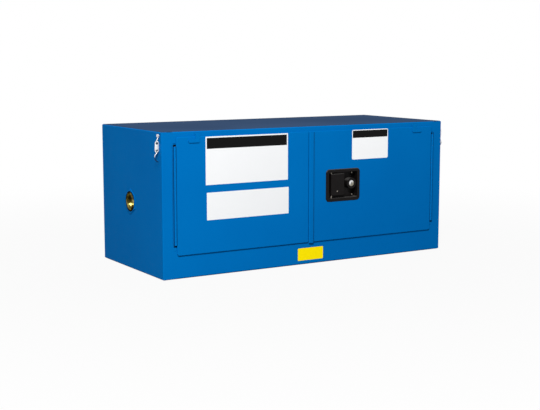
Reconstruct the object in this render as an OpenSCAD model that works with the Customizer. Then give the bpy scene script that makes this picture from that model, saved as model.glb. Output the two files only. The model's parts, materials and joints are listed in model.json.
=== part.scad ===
// Low double-walled steel safety cabinet with two self-closing doors.
// Origin on the floor under the middle of the body; +X right, +Y to the back, +Z up.

/* [Body] */
// Width of the body
body_w = 1092; // [1000:1:1250]
// Depth of the body without its doors
body_d = 457; // [420:1:560]
// Height of the body
body_h = 457; // [430:1:560]
// Thickness of the body and door sheets
sheet_t = 1.2; // [1:0.1:1.5]
// Outer radius of the sheet bends
bend_r = 3; // [2.5:0.5:4]
// Outer face to inner face of the double wall
wall_w = 38; // [37:1:46]
// Width of the side sheet's folded front edge
side_flange_w = 35.8; // [35:0.1:36.2]
// Width of the folded edges at the back and underneath
back_flange_w = 18; // [14:1:22]
// Gap along welded seams that stays in view
seam_gap = 0.6; // [0.4:0.1:1]
// Depth of the leakproof tray
tray_h = 51; // [40:1:60]

/* [Front frame] */
// Width of each stile beside the doors
stile_w = 29; // [27:1:34]
// Depth of the rail, sill and stiles
frame_d = 36; // [30:1:40]
// Width of the lips that stiffen the frame
lip_w = 12; // [8:1:16]

/* [Doors] */
// How far a closed door stands out from the frame
door_proud = 5; // [5:0.5:7]
// Gap between the door's rim and the frame
door_gap = 1; // [0.8:0.1:1.4]
// Depth of a door from its skin to the back of its pan
door_d = 36.5; // [32:0.5:38]
// How far the doors cover the top rail
cover_top = 21; // [16:1:24]
// How far the doors cover the sill
cover_bottom = 16; // [12:1:20]
// Corner radius of the doors on the hinge side
door_r = 7; // [5:1:10]
// Front edge radius of the doors
door_edge_r = 2; // [1.5:0.5:2.5]
// Clearance round the door pans in the doorway
pan_gap = 4; // [3:0.5:6]
// Free edge of the left door from the middle
left_free_x = 16.5; // [16:0.5:20]
// Free edge of the right door from the middle
right_free_x = 14.5; // [13:0.5:15]
// Width of the centre strip
strip_w = 18; // [16:1:30]
// Height of the centre strip over the door skin
strip_h = 3; // [2.5:0.5:5]
// Overhang of the centre strip past the right door's edge
strip_over = 0.5; // [0.2:0.1:1]

/* [Door hinges] */
// Hinge axis from the outer face of the side sheet
hinge_in = 42.5; // [42:0.1:43]
// Hinge axis in front of the frame
hinge_out = 3.5; // [3.2:0.1:4.5]
// Radius of the knuckles
knuckle_r = 3.9; // [3.7:0.1:4.1]
// Radius of the hinge pin
hinge_pin_r = 1.8; // [1.5:0.1:2.2]
// Length of one knuckle
knuckle_l = 12.7; // [10:0.1:14]
// Number of knuckles in a hinge
knuckle_n = 24; // [12:2:26]
// Thickness of the hinge leaves
leaf_t = 1.5; // [1.2:0.1:1.6]
// Free space in the slot above and below the knuckles
slot_gap = 6.5; // [3:0.5:7]

/* [Door catches] */
// Outer end of the left catch's foot from the side of the body
left_catch_in = 87.5; // [85:0.5:100]
// Outer end of the right catch's foot from the side of the body
right_catch_in = 95; // [85:0.5:100]
// Width of the upright strap
strap_w = 15; // [12:1:20]
// Width of the foot
foot_w = 39; // [30:0.5:46]
// Height of the foot
foot_h = 11; // [8:1:16]
// Rise of the strap above the door
strap_rise = 10; // [6:1:14]
// Thickness of the catch plate
catch_t = 3; // [2:0.5:3]

/* [Latch] */
// Width of the latch housing
latch_w = 138; // [130:1:150]
// Height of the latch housing
latch_h = 108.5; // [96:0.5:120]
// Left edge of the housing from the middle of the body
latch_x = 51.5; // [50:0.5:60]
// Middle of the housing above the middle of the door
latch_rise = 0; // [-4:0.5:4]
// Width of the bevelled flange
latch_rim = 11.5; // [10:0.5:14]
// Height of the flange over the door skin
latch_rim_t = 2.8; // [2:0.2:4]
// Depth of the recess behind the door skin
latch_d = 18.5; // [16:0.5:20]
// Thickness of the recess wall
latch_wall = 1.5; // [1.2:0.1:2]
// Corner radius of the flange
latch_r = 13; // [8:1:16]
// Width of the paddle
paddle_w = 53; // [45:1:56]
// Height of the paddle
paddle_h = 72.5; // [60:0.5:76]
// Thickness of the paddle
paddle_t = 3; // [2.5:0.1:3.5]
// Radius of the paddle's pin
paddle_pin_r = 2; // [1.5:0.1:2.4]
// Radius of the lock plug
plug_r = 12; // [10:0.5:13]
// Radius of the lock's black surround
lock_r = 18; // [16:0.5:19]
// Middle of the lock from the right edge of the housing
lock_in = 34; // [32:0.5:36]
// Middle of the lock above the middle of the housing
lock_rise = 3.4; // [0:0.1:6]
// Radius of the latch rods
rod_r = 4; // [3:0.5:4.5]
// Middle of the rods from the middle of the body
rod_x = 30; // [28:1:36]
// Rods and bolt stop this far short of what they lock into
throw_gap = 0.6; // [0.5:0.1:1]
// Travel of bolt and rods
throw = 8; // [5:1:9]
// Height and depth of the bolt's section
bolt_size = [12, 8];

/* [Vents] */
// Middle of the vents from the middle of the depth
vent_y = 5; // [-40:1:40]
// Middle of the vents above the floor
vent_z = 220; // [215:1:230]
// Radius over the points of the six-sided collar
collar_r = 41; // [40:0.5:46]
// Height of the collar over the side sheet
collar_t = 2.2; // [1.6:0.1:4]
// Inner radius of the vent tube
vent_r = 32.8; // [30:0.1:33]
// Wall of the vent tube
vent_wall = 2; // [1.6:0.1:2.2]
// Depth of the recess in the vent plug
plug_d = 16; // [10:1:20]

/* [Shelf] */
// Height of the shelf's lower edge
shelf_z = 210; // [150:0.5:300]
// Height of the shelf's folded edges
shelf_h = 22; // [16:1:30]
// Gap behind the doorway to the shelf's front edge
shelf_back = 32.5; // [24:0.5:60]
// Width of the slotted standards
standard_w = 20; // [16:1:22]
// Depth of the slotted standards
standard_d = 5; // [4:0.5:6]
// Pitch of the slots in the standards
slot_pitch = 25.4; // [20:0.1:30]

/* [Link chains] */
// Chain from the front of the body
chain_in = 16.5; // [12:0.5:20]
// Link plate from the side of the body
chain_out = 8; // [8:0.5:12]
// Link screw below the top of the body
link_screw_down = 12; // [11:1:16]
// Wire radius of the hooks
wire_r = 1.1; // [0.8:0.1:1.3]
// Inner radius of the eye round the screw
eye_r = 2.8; // [2.7:0.1:3.2]
// Mean radius of the eyes that hold the link
ring_r = 3.8; // [3.6:0.1:4.6]
// Length of the fusible link
link_l = 34.7; // [30:0.1:40]
// Width of the fusible link
link_w = 13; // [12:0.5:14]
// Radius of the link's holes
link_hole_r = 2.2; // [2.1:0.1:2.8]
// Mean radius of the lower hook's bend
hook_r = 14.6; // [12:0.1:15]
// Turn of the lower hook's bend
hook_turn = 140; // [120:1:145]

/* [Hidden] */
$fn = 48;
blue = "#0069b4";
slate = "#41556f";
cut = 1;                                        // how far a cutting tool runs past a face
fit = 0.3;                                      // clearance between pieces that move
run_fit = 0.05;                                 // clearance between a pin and its bore

half_w = body_w / 2;
half_d = body_d / 2;
front_y = -half_d;
back_y = half_d;
top_z = body_h - sheet_t;                       // underside of the top sheet
liner_x = half_w - wall_w;                      // inner face of the side liners
liner_back_y = back_y - wall_w;
frame_back_y = front_y + frame_d;
open_x = half_w - side_flange_w - seam_gap - stile_w;   // half width of the doorway
open_top = body_h - wall_w;
open_bottom = wall_w + tray_h;
seam_x = half_w - side_flange_w - seam_gap;     // outer edge of the rail, sill and stiles

door_y = front_y - door_proud;                  // front face of the door skins
rim_y = front_y - door_gap;                     // back edge of the door's rim
skin_y = door_y + sheet_t;                      // back face of the door skins
pan_y = door_y + door_d;                        // back face of the door pans
door_top = open_top + cover_top;
door_bottom = open_bottom - cover_bottom;
hinge_x = half_w - hinge_in;
hinge_y = front_y - hinge_out;
door_x = hinge_x - knuckle_r - 4 * fit;         // hinge edge of the doors
hinge_l = knuckle_n * knuckle_l;
hinge_rise = 2;                                 // middle of the hinge above the middle of the door
hinge_z = (door_bottom + door_top - hinge_l) / 2 + hinge_rise;
pan_x = open_x - pan_gap;                       // hinge side of the door pans
pan_top = open_top - pan_gap;
pan_bottom = open_bottom + pan_gap;
pan_free_in = 5.5;                              // free side of a pan from the free edge of its skin
left_pan_free_x = left_free_x + pan_free_in;
right_pan_free_x = right_free_x - pan_free_in + 1;
leaf_y = skin_y + sheet_t;                      // front face of the door leaves

latch_mid_x = latch_x + latch_w / 2;
latch_z = (door_top + door_bottom) / 2 + latch_rise;
lock_x = latch_x + latch_w - lock_in;
lock_neck_r = 14;
lock_out = latch_d + sheet_t + 1;               // front of the surround from the recess floor
lock_tail = 6;                                  // barrel behind the recess floor
cam_gap = 0.3;                                  // the plug's tail stands this far out of the barrel
latch_face_y = door_y - latch_rim_t;
recess_w = latch_w - 2 * latch_rim;
recess_h = latch_h - 2 * latch_rim + 2;
recess_y = skin_y + latch_d;                    // inner face of the recess floor
recess_r = 6;
paddle_pin_x = latch_x + latch_rim + 14;
paddle_pin_y = skin_y + 4.2;
paddle_x = paddle_pin_x - 4;
paddle_y = latch_face_y + 1;
rod_y = (skin_y + pan_y) / 2;
bolt_z = latch_z;
bolt_hole = bolt_size + [1, 1];
rod_hole_r = rod_r + 1;
bolt_back_x = rod_x + 16;
rod_start = 18;                                 // from the middle of the bolt to the rods
keeper_t = 2;
guide_z = [pan_bottom + 12, bolt_z - 38, bolt_z + 34, pan_top - 16];
guide_t = 6;

standard_y = [frame_back_y + shelf_back + 5, liner_back_y - standard_w / 2 - fit];
shelf_front_y = standard_y[0] - 5;
shelf_back_y = standard_y[1] + 5;
shelf_x = liner_x - standard_d - 3;

chain_y = front_y + chain_in;
chain_x = half_w + chain_out;                   // middle of the link plate
eye_x = half_w + 2.6;                           // middle of the eye round the screw
screw_head_x = eye_x + wire_r + 1.3;
link_screw_z = body_h - link_screw_down;
link_shank_r = 2.5;
eye_drop = 18;
link_ring_z = link_screw_z - eye_drop;          // middle of the eye that carries the link
link_pivot_z = link_ring_z - ring_r;
link_slack = link_hole_r - wire_r - 0.4;
link_hole_z = link_pivot_z - link_slack;
plate_t = 1;                                    // thickness of one half of the link
link_top_z = link_hole_z + link_w / 2;
link_low_hole_z = link_top_z - link_l + link_w / 2;
hook_pivot_z = link_low_hole_z - link_slack;
hook_ring_z = hook_pivot_z - ring_r;
hook_lean = 10;                                 // the hook's bend points a little down

ground_r = 3;
ground_place = [-half_w + 60, 60];              // X and Z, low on the back

// Quarter of a bent sheet's section, from +X to +Y
module bend(r, t) {
    difference() {
        intersection() {
            circle(r);
            square(r);
        }
        circle(r - t);
    }
}

// Section of a folded sheet. The corners lie on its outer face and every bend turns left.
module folded(corners, t = sheet_t, r = bend_r) {
    last = len(corners) - 1;
    for (i = [0:last - 1]) {
        along = (corners[i + 1] - corners[i]) / norm(corners[i + 1] - corners[i]);
        start = i == 0 ? 0 : r;
        end = i == last - 1 ? 0 : r;
        run = norm(corners[i + 1] - corners[i]) - start - end;
        if (run > 0)
            translate(corners[i] + start * along) rotate(atan2(along.y, along.x)) square([run, t]);
    }
    for (i = [1:last - 1]) {
        before = (corners[i] - corners[i - 1]) / norm(corners[i] - corners[i - 1]);
        after = (corners[i + 1] - corners[i]) / norm(corners[i + 1] - corners[i]);
        translate(corners[i] + r * (after - before)) rotate(atan2(before.y, before.x) - 90) bend(r, t);
    }
}

// A section drawn in Y and Z, run along X
module along_x(x0, x1) {
    translate([x0, 0, 0]) rotate([90, 0, 90]) linear_extrude(x1 - x0) children();
}

// A section drawn in X and Z, run along Y
module along_y(y0, y1) {
    translate([0, y1, 0]) rotate([90, 0, 0]) linear_extrude(y1 - y0) children();
}

// A section drawn in X and Y, run along Z
module along_z(z0, z1) {
    translate([0, 0, z0]) linear_extrude(z1 - z0) children();
}

module box(low, high) {
    translate(low) cube(high - low);
}

module rounded(low, high, r) {
    size = high - low;
    translate(low + [r, 0]) square([size.x - 2 * r, size.y]);
    translate(low + [0, r]) square([size.x, size.y - 2 * r]);
    for (x = [low.x + r, high.x - r], y = [low.y + r, high.y - r]) translate([x, y]) circle(r);
}

module both_sides() {
    children();
    mirror([1, 0, 0]) children();
}

// ---------- outer shell ----------

module top_panel() {
    flange_x = half_w - back_flange_w - seam_gap;
    color(slate) {
        box([-half_w + bend_r, front_y + bend_r, top_z], [half_w - bend_r, back_y - bend_r, body_h]);
        along_x(-flange_x, flange_x)
            folded([[back_y, body_h - back_flange_w], [back_y, body_h], [0, body_h]]);
    }
}

module base_panel() {
    flange_x = half_w - back_flange_w - seam_gap;
    color(blue) {
        box([-half_w + bend_r, front_y + bend_r, 0], [half_w - bend_r, back_y - bend_r, sheet_t]);
        along_x(-flange_x, flange_x) folded([[0, 0], [back_y, 0], [back_y, back_flange_w]]);
    }
}

module back_panel() {
    edge_x = half_w - bend_r;
    color(blue) difference() {
        box([-edge_x, back_y - 2 * sheet_t, 2 * sheet_t + seam_gap],
            [edge_x, back_y - sheet_t, top_z - sheet_t - seam_gap]);
        along_y(back_y - 2 * sheet_t - cut, back_y) translate(ground_place) circle(ground_r + run_fit);
    }
}

module side_sheet() {
    flange_top = top_z - seam_gap;
    flange_bottom = sheet_t + seam_gap;
    color(blue) difference() {
        union() {
            along_y(front_y + bend_r, back_y - bend_r)
                folded([[-half_w + back_flange_w, top_z], [-half_w, top_z],
                        [-half_w, sheet_t], [-half_w + back_flange_w, sheet_t]]);
            along_z(flange_bottom, flange_top) {
                folded([[-half_w, front_y + 2 * bend_r], [-half_w, front_y],
                        [-half_w + side_flange_w, front_y], [-half_w + side_flange_w, front_y + lip_w]]);
                folded([[-half_w + back_flange_w, back_y], [-half_w, back_y], [-half_w, back_y - 2 * bend_r]]);
            }
        }
        vent_axis() cylinder(r = vent_r + vent_wall + seam_gap / 2, h = 2 * wall_w, center = true);
        translate([-half_w, chain_y, link_screw_z]) rotate([0, 90, 0])
            cylinder(r = link_shank_r + run_fit, h = bend_r, center = true);
    }
}

module left_side_panel() side_sheet();

module right_side_panel() mirror([1, 0, 0]) side_sheet();

// ---------- front frame ----------

module top_rail() {
    color(blue) difference() {
        along_x(-seam_x, seam_x)
            folded([[front_y + back_flange_w, top_z], [front_y, top_z], [front_y, open_top],
                    [frame_back_y, open_top], [frame_back_y, open_top + lip_w]]);
        translate([rod_x, rod_y, open_top]) cylinder(r = rod_hole_r, h = bend_r, center = true);
    }
}

module front_sill() {
    color(blue) difference() {
        along_x(-seam_x, seam_x)
            folded([[frame_back_y, open_bottom - lip_w], [frame_back_y, open_bottom],
                    [front_y, open_bottom], [front_y, sheet_t], [front_y + back_flange_w, sheet_t]]);
        translate([rod_x, rod_y, open_bottom]) cylinder(r = rod_hole_r, h = bend_r, center = true);
    }
}

module stile() {
    slot_x = door_x - slot_gap;
    color(blue) difference() {
        along_z(open_bottom, open_top)
            folded([[-seam_x, front_y + lip_w], [-seam_x, front_y], [-open_x, front_y],
                    [-open_x, frame_back_y], [-liner_x - sheet_t, frame_back_y]]);
        box([-seam_x - cut, front_y - cut, hinge_z - slot_gap],
            [-slot_x, front_y + lip_w + cut, hinge_z + hinge_l + slot_gap]);
    }
}

module left_stile() stile();

module right_stile() mirror([1, 0, 0]) stile();

module rod_keepers() {
    size = rod_hole_r * [6.4, 4.4];
    color("silver")
        for (z = [open_top + sheet_t, open_bottom - sheet_t - keeper_t])
            translate([rod_x, rod_y, z]) linear_extrude(keeper_t) difference() {
                square(size, center = true);
                circle(rod_hole_r);
            }
}

// ---------- inner liner ----------

module liner_top() {
    color(blue) box([-liner_x - sheet_t, frame_back_y, open_top],
                    [liner_x + sheet_t, liner_back_y + sheet_t, open_top + sheet_t]);
}

module liner_side() {
    color(blue) difference() {
        box([-liner_x - sheet_t, frame_back_y, wall_w], [-liner_x, liner_back_y + sheet_t, open_top]);
        vent_axis() cylinder(r = vent_r + vent_wall + seam_gap / 2, h = 2 * wall_w + cut, center = true);
    }
}

module liner_left() liner_side();

module liner_right() mirror([1, 0, 0]) liner_side();

module liner_back() {
    color(blue) box([-liner_x, liner_back_y, wall_w], [liner_x, liner_back_y + sheet_t, open_top]);
}

// Welded pan that holds spills, with a wall on all four sides
module liner_tray() {
    low = [-liner_x, frame_back_y, wall_w];
    high = [liner_x, liner_back_y, wall_w + tray_h - sheet_t];
    color(blue) difference() {
        box(low, high);
        box(low + sheet_t * [1, 1, 1], high + [-sheet_t, -sheet_t, cut]);
    }
}

// Hat channels that hold the liner away from the outer shell
module hat(rise) {
    web = 30;
    foot = 12;
    translate([-web / 2 - foot, 0]) square([foot, sheet_t]);
    translate([web / 2, 0]) square([foot, sheet_t]);
    translate([-web / 2, 0]) square([sheet_t, rise]);
    translate([web / 2 - sheet_t, 0]) square([sheet_t, rise]);
    translate([-web / 2, rise - sheet_t]) square([web, sheet_t]);
}

module wall_spacers() {
    places = [-0.6, 0, 0.6] * half_w;
    color("silver") for (x = places) {
        along_y(frame_back_y + lip_w, liner_back_y)
            translate([x, sheet_t]) hat(rise = wall_w - sheet_t);
        along_y(frame_back_y + lip_w, liner_back_y)
            translate([x, top_z]) mirror([0, 1]) hat(rise = top_z - open_top - sheet_t);
        along_z(wall_w + lip_w, open_top - lip_w)
            translate([x, back_y - 2 * sheet_t]) mirror([0, 1]) hat(rise = wall_w - 3 * sheet_t);
    }
}

// ---------- vents ----------

module vent_axis() {
    translate([-half_w, vent_y, vent_z]) rotate([0, 90, 0]) children();
}

module vent_flanges() {
    color(blue) both_sides() vent_axis() difference() {
        union() {
            translate([0, 0, -collar_t]) cylinder(r = collar_r, h = collar_t, $fn = 6);
            cylinder(r = vent_r + vent_wall, h = wall_w + sheet_t);
        }
        translate([0, 0, -collar_t - cut]) cylinder(r = vent_r, h = wall_w + sheet_t + collar_t + 2 * cut);
    }
}

// Perforated screens inside the vent tubes
module flame_arresters() {
    rings = 3;
    pitch = 8;
    screen_t = 2;
    rim_h = 5;
    hole_r = 2.6;
    color("silver") both_sides() vent_axis() translate([0, 0, wall_w + sheet_t - rim_h]) difference() {
        union() {
            cylinder(r = vent_r, h = screen_t);
            difference() {
                cylinder(r = vent_r, h = rim_h);
                cylinder(r = vent_r - sheet_t, h = 3 * rim_h, center = true);
            }
        }
        for (ring = [1:rings], i = [0:6 * ring - 1]) rotate(i * 60 / ring)
            translate([ring * pitch, 0, -cut]) cylinder(r = hole_r, h = screen_t + 2 * cut, $fn = 6);
    }
}

// Screw-in closure: a pressed cup with a turned rim and two wrench bars
module vent_plug() {
    wall = 1.4;
    rim = [3.2, 2];
    boss = [8, 3];
    bars = 3;
    outer = vent_r - fit;
    color("goldenrod") vent_axis() {
        rotate_extrude() {
            translate([outer - rim.x, -collar_t]) square(rim);
            translate([outer - wall, -collar_t]) square([wall, plug_d]);
            translate([0, plug_d - collar_t - wall]) square([outer, wall]);
            translate([0, plug_d - collar_t - wall - boss.y]) square(boss);
        }
        for (a = [0:bars - 1]) rotate(a * 360 / bars + 30)
            translate([outer / 2, -2, plug_d - collar_t - wall - 5]) cube([outer / 2 - 0.5, 4, 5.2]);
    }
}

module left_vent_plug() vent_plug();

module right_vent_plug() mirror([1, 0, 0]) vent_plug();

// ---------- shelf ----------

module shelf() {
    lip = 10;
    fold_r = 2.4;
    color("gainsboro") along_x(-shelf_x, shelf_x)
        folded([[shelf_back_y - lip, shelf_z], [shelf_back_y, shelf_z], [shelf_back_y, shelf_z + shelf_h],
                [shelf_front_y, shelf_z + shelf_h], [shelf_front_y, shelf_z], [shelf_front_y + lip, shelf_z]],
               r = fold_r);
}

module shelf_standards() {
    low = open_bottom + 6;
    high = open_top - 8;
    slots = floor((high - low) / slot_pitch);
    slot_h = 10;
    slot_w = 4;
    color("gainsboro") both_sides() for (y = standard_y) difference() {
        along_z(low, high) translate([-liner_x, y]) {
            for (s = [-1, 1]) translate([0, s * (standard_w - sheet_t) / 2 - sheet_t / 2])
                square([standard_d, sheet_t]);
            translate([standard_d - sheet_t, -standard_w / 2]) square([sheet_t, standard_w]);
        }
        for (i = [1:slots]) translate([-liner_x + standard_d, y, low + (i - 0.5) * slot_pitch])
            cube([3 * sheet_t, slot_w, slot_h], center = true);
    }
}

module shelf_clips() {
    width = 12;
    drop = 14;
    reach = 17;
    t = 1.5;
    color("silver") both_sides() for (y = standard_y)
        along_y(y - width / 2, y + width / 2)
            folded([[-liner_x + standard_d + reach, shelf_z], [-liner_x + standard_d, shelf_z],
                    [-liner_x + standard_d, shelf_z - drop]], t = t, r = t + 0.5);
}

// ---------- door hinges ----------

module knuckle_row(first) {
    for (i = [first:2:knuckle_n - 1])
        translate([-hinge_x, hinge_y, hinge_z + i * knuckle_l + fit / 2])
            linear_extrude(knuckle_l - fit) {
                circle(knuckle_r);
                children();
            }
}

module pin_bore() {
    translate([-hinge_x, hinge_y, hinge_z - cut])
        cylinder(r = hinge_pin_r + run_fit, h = hinge_l + 2 * cut);
}

// The knuckles pass through the stile's slot, and the leaf is welded to the back of its face
module frame_leaf() {
    leaf_front = front_y + sheet_t;
    color(blue) difference() {
        union() {
            box([-hinge_x - leaf_t, leaf_front, hinge_z],
                [-open_x - sheet_t - 2, leaf_front + leaf_t, hinge_z + hinge_l]);
            knuckle_row(0) translate([-leaf_t, 0]) square([2 * leaf_t, leaf_front + leaf_t - hinge_y]);
        }
        pin_bore();
    }
}

module left_frame_leaf() frame_leaf();

module right_frame_leaf() mirror([1, 0, 0]) frame_leaf();

module door_leaf() {
    color(blue) difference() {
        union() {
            box([-door_x + sheet_t + 1, leaf_y, hinge_z], [-pan_x - 1, leaf_y + leaf_t, hinge_z + hinge_l]);
            knuckle_row(1) translate([0, leaf_y - hinge_y])
                square([hinge_x - door_x + sheet_t + 2, leaf_t]);
        }
        pin_bore();
    }
}

module left_door_leaf() door_leaf();

module right_door_leaf() mirror([1, 0, 0]) door_leaf();

module hinge_pins() {
    color("silver") both_sides()
        translate([-hinge_x, hinge_y, hinge_z]) cylinder(r = hinge_pin_r, h = hinge_l);
}

// ---------- doors ----------

// Outer skin of the left door; the right one is its mirror image
module door_skin(free_x) {
    free_r = door_edge_r + 0.5;
    step = 30;                                  // of the front edge's rounding, in degrees
    color(blue) difference() {
        hull() for (a = [0:step:90]) {
            inset = door_edge_r * (1 - sin(a));
            low = door_bottom + inset;
            high = door_top - inset;
            along_y(door_y + door_edge_r * (1 - cos(a)), a < 90 ? door_y + door_edge_r : rim_y) {
                rounded([-door_x + inset, low], [-door_x + 3 * door_r, high], door_r - inset);
                rounded([-free_x - 3 * free_r, low], [-free_x - inset, high], free_r - inset);
            }
        }
        along_y(skin_y, rim_y + cut)
            rounded([-door_x + sheet_t, door_bottom + sheet_t], [-free_x - sheet_t, door_top - sheet_t],
                    free_r - sheet_t);
        box([-door_x - cut, leaf_y - fit, hinge_z - fit],
            [-door_x + 2 * sheet_t, rim_y + cut, hinge_z + hinge_l + fit]);
    }
}

// Inner pan: its flange is welded behind the skin, and it fills the doorway
module door_pan(skin_free_x, free_x) {
    edge = sheet_t + fit;
    pan_r = 6;
    color(blue) difference() {
        union() {
            box([-door_x + edge, skin_y, door_bottom + edge], [-skin_free_x - edge, leaf_y, door_top - edge]);
            along_y(skin_y, pan_y) rounded([-pan_x, pan_bottom], [-free_x, pan_top], pan_r);
        }
        along_y(skin_y - cut, pan_y - sheet_t)
            rounded([-pan_x + sheet_t, pan_bottom + sheet_t], [-free_x - sheet_t, pan_top - sheet_t],
                    pan_r - sheet_t);
    }
}

module left_door_skin() door_skin(left_free_x);

module left_door_pan() {
    difference() {
        door_pan(left_free_x, left_pan_free_x);
        translate([-left_pan_free_x, rod_y, bolt_z]) cube([4 * sheet_t, bolt_hole.y, bolt_hole.x], center = true);
    }
}

module right_door_skin() {
    gap = fit;
    difference() {
        mirror([1, 0, 0]) door_skin(-right_free_x);
        along_y(door_y - cut, skin_y + cut) recess_outline(latch_wall + gap);
    }
}

module right_door_pan() {
    difference() {
        mirror([1, 0, 0]) door_pan(-right_free_x, -right_pan_free_x);
        translate([-right_pan_free_x, rod_y, bolt_z]) cube([4 * sheet_t, bolt_hole.y, bolt_hole.x], center = true);
        translate([rod_x, rod_y, pan_bottom - cut])
            cylinder(r = rod_r + fit, h = pan_top - pan_bottom + 2 * cut);
    }
}

// Formed strip that closes the gap between the doors
module centre_strip() {
    left = -right_free_x - strip_over;
    color(blue) along_z(door_bottom - 2, door_top - 3)
        folded([[left, door_y], [left, door_y - strip_h], [left + strip_w, door_y - strip_h],
                [left + strip_w, door_y]], r = min(bend_r, strip_h) - 0.5);
}

// L-shaped plate that the link's hook catches to hold a door open
module catch_plate(inset) {
    outer = inset - half_w;                     // left end of the foot
    inner = outer + foot_w;
    strap_r = 3;
    foot_r = foot_h / 2 - 0.5;
    foot_z = door_top - 8 - foot_h;
    color(blue) along_y(door_y - catch_t, door_y) {
        rounded([inner - strap_w, foot_z + foot_r], [inner, door_top + strap_rise], strap_r);
        rounded([outer, foot_z], [inner, foot_z + foot_h], foot_r);
    }
}

module left_catch() catch_plate(left_catch_in);

module right_catch() mirror([1, 0, 0]) catch_plate(right_catch_in);

// ---------- latch ----------

module strike_plate() {
    size = [34, 18];
    color("silver") difference() {
        translate([-left_pan_free_x, rod_y - size.y / 2, bolt_z - size.x / 2]) cube([keeper_t, size.y, size.x]);
        translate([-left_pan_free_x, rod_y, bolt_z]) cube([4 * keeper_t, bolt_hole.y, bolt_hole.x], center = true);
    }
}

// Outline of the recess, grown by a margin
module recess_outline(margin = 0) {
    half = [recess_w, recess_h] / 2 + margin * [1, 1];
    middle = [latch_mid_x, latch_z];
    rounded(middle - half, middle + half, recess_r + margin);
}

module flange_outline(inset) {
    half = [latch_w, latch_h] / 2 - inset * [1, 1];
    middle = [latch_mid_x, latch_z];
    rounded(middle - half, middle + half, latch_r - inset);
}

module latch_housing() {
    bevel = 2.2;
    edge_t = 1;
    color("#141416") difference() {
        union() {
            hull() {
                along_y(door_y - edge_t, door_y) flange_outline(0);
                along_y(latch_face_y, door_y) flange_outline(bevel);
            }
            along_y(door_y - edge_t, recess_y + latch_wall) recess_outline(latch_wall);
        }
        along_y(latch_face_y - cut, recess_y) recess_outline();
        translate([paddle_pin_x, paddle_pin_y, latch_z])
            cylinder(r = paddle_pin_r, h = recess_h + 2 * latch_wall, center = true);
        lock_axis() translate([0, 0, -cut]) cylinder(r = lock_neck_r, h = latch_d + 3 * cut);
    }
}

// Along the lock, from the recess floor outwards
module lock_axis() {
    translate([lock_x, recess_y, latch_z + lock_rise]) rotate([90, 0, 0]) translate([0, 0, -latch_wall - cut]) children();
}

module latch_screws() {
    head_r = 3;
    head_t = 1.6;
    inset = 6;
    color("silver")
        for (x = [-1, 1], z = [-1, 1])
            translate([latch_mid_x + x * (recess_w / 2 - inset), recess_y, latch_z + z * (recess_h / 2 - inset)])
                rotate([90, 0, 0]) intersection() {
                    cylinder(r = head_r, h = head_t);
                    translate([0, 0, head_t - 2 * head_r]) sphere(2 * head_r);
                }
}

module paddle_pin() {
    color("silver") translate([paddle_pin_x, paddle_pin_y, latch_z])
        cylinder(r = paddle_pin_r, h = recess_h + 2 * latch_wall, center = true);
}

// Pressed plate with chamfered edges, carried by a tube at its left edge
module paddle() {
    chamfer = 1.2;
    hub_r = 4.5;
    low = [paddle_x, latch_z + 2 - paddle_h / 2];
    high = low + [paddle_w, paddle_h];
    color("#1b1b1e") difference() {
        union() {
            hull() {
                along_y(paddle_y + chamfer, paddle_y + paddle_t) rounded(low, high, 2);
                along_y(paddle_y, paddle_y + paddle_t)
                    rounded(low + chamfer * [1, 1], high - chamfer * [1, 1], 1);
            }
            along_z(low.y, high.y) translate([paddle_pin_x, paddle_pin_y]) {
                circle(hub_r);
                translate([-hub_r, paddle_y + paddle_t / 2 - paddle_pin_y])
                    square([2 * hub_r, paddle_pin_y - paddle_y - paddle_t / 2]);
            }
            along_y(paddle_y - 0.7, paddle_y) translate([low.x + paddle_w * 0.45, low.y + 14]) circle(3);
        }
        translate([paddle_pin_x, paddle_pin_y, low.y - cut])
            cylinder(r = paddle_pin_r + run_fit, h = paddle_h + 2 * cut);
    }
}

module lock_body() {
    color("#0f0f10") lock_axis() translate([0, 0, latch_wall + cut]) difference() {
        union() {
            cylinder(r = lock_r, h = lock_out);
            translate([0, 0, -latch_wall - lock_tail])
                cylinder(r = lock_neck_r - run_fit, h = lock_tail + latch_wall + cut);
        }
        translate([0, 0, -latch_wall - lock_tail - cut])
            cylinder(r = plug_r + run_fit, h = lock_out + lock_tail + latch_wall + 2 * cut);
    }
}

module lock_plug() {
    key_slot = [2, 9, 3];
    dome_r = 40;
    color("silver") lock_axis() translate([0, 0, latch_wall + cut]) difference() {
        translate([0, 0, -latch_wall - lock_tail - cam_gap])
            intersection() {
                cylinder(r = plug_r, h = lock_out + lock_tail + latch_wall + cam_gap + 1);
                translate([0, 0, lock_out + lock_tail + latch_wall + cam_gap + 1 - dome_r]) sphere(dome_r);
            }
        translate([0, 0, lock_out + 1]) cube([key_slot.x, key_slot.y, 2 * key_slot.z], center = true);
    }
}

// Hooked tongue on the plug's tail
module lock_cam() {
    t = 2;
    reach = 30;
    color("silver") lock_axis() translate([0, 0, cut - lock_tail - cam_gap - t]) linear_extrude(t) {
        circle(9);
        translate([-5, -reach]) square([10, reach]);
        translate([-5, -reach]) square([16, 6]);
    }
}

module latch_bracket() {
    half_h = bolt_size.x / 2 + 6;
    ears = [rod_x - 16, bolt_back_x - 4];
    ear_y = rod_y - bolt_size.y / 2 - 3;
    base_y = pan_y - sheet_t;
    color("silver") difference() {
        along_z(bolt_z - half_h, bolt_z + half_h)
            folded([[ears[1], ear_y], [ears[1], base_y], [ears[0], base_y], [ears[0], ear_y]],
                   t = 2, r = bend_r);
        translate([rod_x, rod_y, bolt_z])
            cube([3 * bolt_back_x, bolt_size.y + 2 * run_fit + fit, bolt_size.x + 2 * run_fit + fit], center = true);
    }
}

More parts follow.
